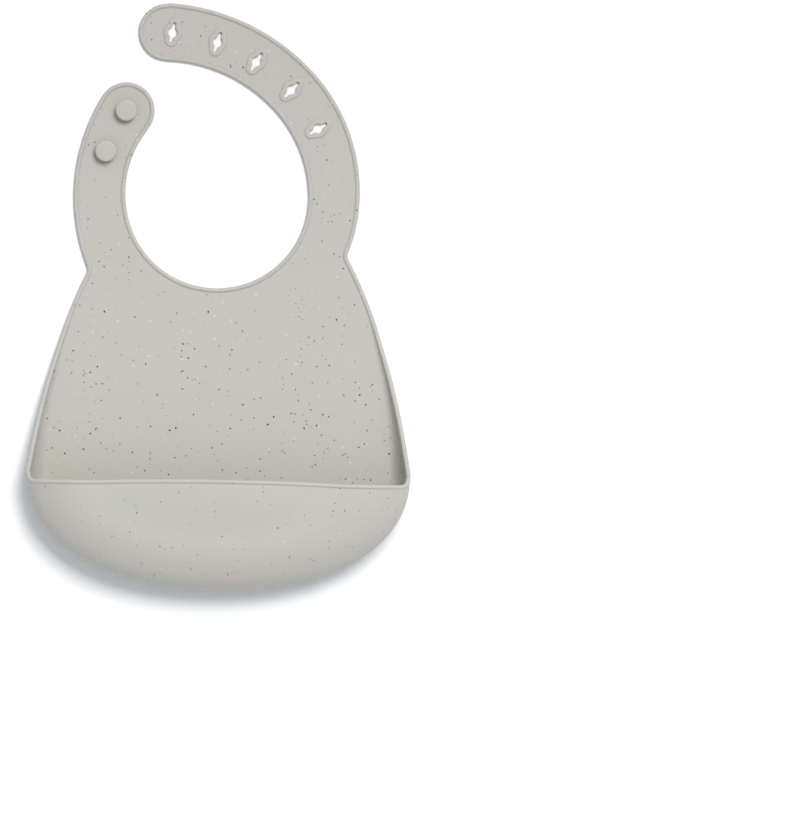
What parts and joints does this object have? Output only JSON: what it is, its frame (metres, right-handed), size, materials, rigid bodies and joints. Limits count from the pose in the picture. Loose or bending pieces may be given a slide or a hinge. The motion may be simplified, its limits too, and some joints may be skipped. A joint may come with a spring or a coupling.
{
  "type": "silicone bib",
  "caption": "Soft speckled silicone bib with a rounded catch pocket, a wide neck opening and an adjustable peg-and-slot neck strap.",
  "frame": {"origin": "on the floor, under the middle of the bib lying flat on its back", "axes": "+Z out of the front face, +Y from the pocket towards the straps, +X to the right seen from the front"},
  "size_m": [0.221, 0.3363, 0.0437],
  "materials": {
    "silicone": "matte, pale warm grey with fine dark and pale specks"
  },
  "bodies": {
    "chest": {"chest_panel": "silicone", "left_side_bead": "silicone", "right_side_bead": "silicone", "pocket_bowl": "silicone"},
    "front": {"pocket_front": "silicone", "pocket_lip_bead": "silicone"},
    "yoke": {"neck_yoke": "silicone", "left_shoulder_bead": "silicone", "neckline_bead": "silicone", "right_shoulder_bead": "silicone"},
    "peg_arm": {"peg_strap": "silicone", "peg_strap_bead": "silicone", "upper_peg": "silicone", "lower_peg": "silicone"},
    "slot_root": {"slot_strap_root": "silicone", "slot_root_inner_bead": "silicone", "slot_root_outer_bead": "silicone", "slot_rim_5": "silicone"},
    "slot_middle": {"slot_strap_middle": "silicone", "slot_middle_inner_bead": "silicone", "slot_middle_outer_bead": "silicone", "slot_rim_4": "silicone", "slot_rim_3": "silicone"},
    "slot_tip": {"slot_strap_tip": "silicone", "slot_tip_bead": "silicone", "slot_rim_2": "silicone", "slot_rim_1": "silicone"}
  },
  "joints": [
    {"name": "pocket_front_flex", "type": "hinge", "parent": "chest", "child": "front", "pos_m": [0, -0.1398, 0.0391], "axis": [1, 0, 0], "range_deg": [-15, 20], "stiffness_Nm_per_rad": 0.2},
    {"name": "panel_fold", "type": "hinge", "parent": "chest", "child": "yoke", "pos_m": [0, -0.005, 0.0009], "axis": [1, 0, 0], "range_deg": [-75, 75], "stiffness_Nm_per_rad": 0.004},
    {"name": "peg_strap_bend", "type": "hinge", "parent": "yoke", "child": "peg_arm", "pos_m": [-0.068, 0.0574, 0.0009], "axis": [1, 0, 0], "range_deg": [-60, 45], "stiffness_Nm_per_rad": 0.002},
    {"name": "slot_strap_bend", "type": "hinge", "parent": "yoke", "child": "slot_root", "pos_m": [0.063, 0.0574, 0.0009], "axis": [1, 0, 0], "range_deg": [-60, 45], "stiffness_Nm_per_rad": 0.002},
    {"name": "slot_strap_curl", "type": "hinge", "parent": "slot_root", "child": "slot_middle", "pos_m": [0.0472, 0.1091, 0.0009], "axis": [0.8151, 0.5793, 0], "range_deg": [-60, 45], "stiffness_Nm_per_rad": 0.002},
    {"name": "slot_tip_curl", "type": "hinge", "parent": "slot_middle", "child": "slot_tip", "pos_m": [0.0072, 0.1417, 0.0009], "axis": [0.421, 0.907, 0], "range_deg": [-60, 45], "stiffness_Nm_per_rad": 0.002}
  ],
  "couplings": [
    {"joint": "slot_strap_curl", "follows": "slot_strap_bend", "ratio": 1},
    {"joint": "slot_tip_curl", "follows": "slot_strap_bend", "ratio": 1}
  ]
}
